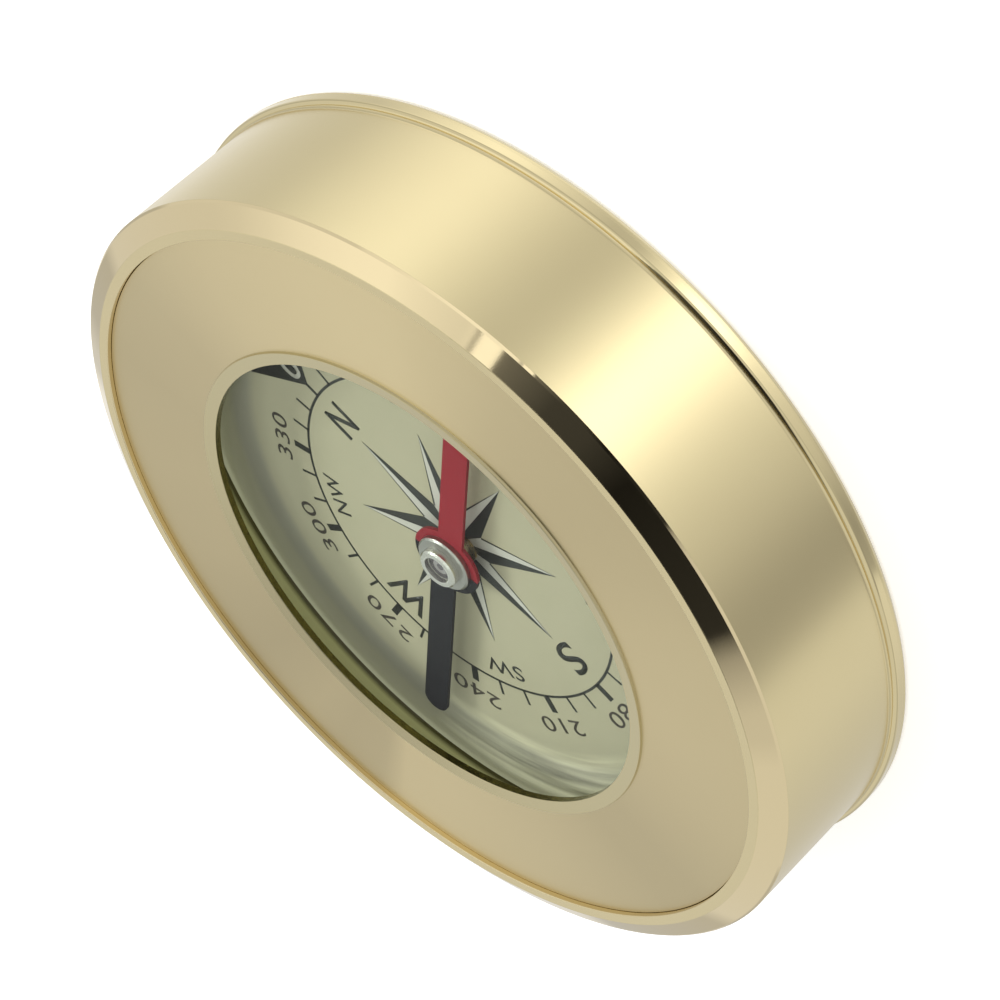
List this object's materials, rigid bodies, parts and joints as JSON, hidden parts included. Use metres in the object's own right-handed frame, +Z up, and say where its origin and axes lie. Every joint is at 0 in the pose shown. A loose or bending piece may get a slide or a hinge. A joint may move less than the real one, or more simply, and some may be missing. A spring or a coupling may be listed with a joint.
{
  "type": "pocket compass",
  "caption": "Round metal pocket compass: a broad satin case ring with polished edges, a flat window, a printed dial and a free-turning two-colour needle.",
  "frame": {"origin": "centre of the flat back, on the surface that the compass rests on", "axes": "+Z is up through the dial and window, +Y is north on the dial, +X is east on the dial"},
  "size_m": [0.0496, 0.0496, 0.0103],
  "materials": {
    "satin_gold": "satin brushed, gold anodised, polished chamfers",
    "face_gold": "fine bead-blasted satin, gold anodised",
    "inner_gold": "smooth, gold anodised",
    "cover_gold": "turned satin, gold anodised, polished flange",
    "black_rubber": "matte",
    "clear_glass": "clear, polished",
    "dial_print": "matte card, pale cream-green, black print",
    "plain_aluminium": "turned",
    "turned_brass": "turned",
    "ground_steel": "ground",
    "needle_paint": "painted steel strip, red north half and black south half",
    "hub_nickel": "nickel-plated, turned",
    "jewel": "dark polished jewel"
  },
  "bodies": {
    "case": {"case_body": "satin_gold", "face_ring": "face_gold", "window_gasket": "black_rubber", "window_glass": "clear_glass", "spacer_ring": "inner_gold", "dial_card": "dial_print", "dial_plate": "plain_aluminium", "pivot_bush": "turned_brass", "pivot_pin": "ground_steel", "retaining_ring": "turned_brass", "cover_seal": "black_rubber", "back_cover": "cover_gold"},
    "needle": {"needle_blade": "needle_paint", "hub_cap": "hub_nickel", "hub_collar": "hub_nickel", "jewel_bearing": "jewel"}
  },
  "joints": [
    {"name": "needle_spin", "type": "hinge", "parent": "case", "child": "needle", "pos_m": [0, 0, 0.00735], "axis": [0, 0, 1], "continuous": true}
  ]
}
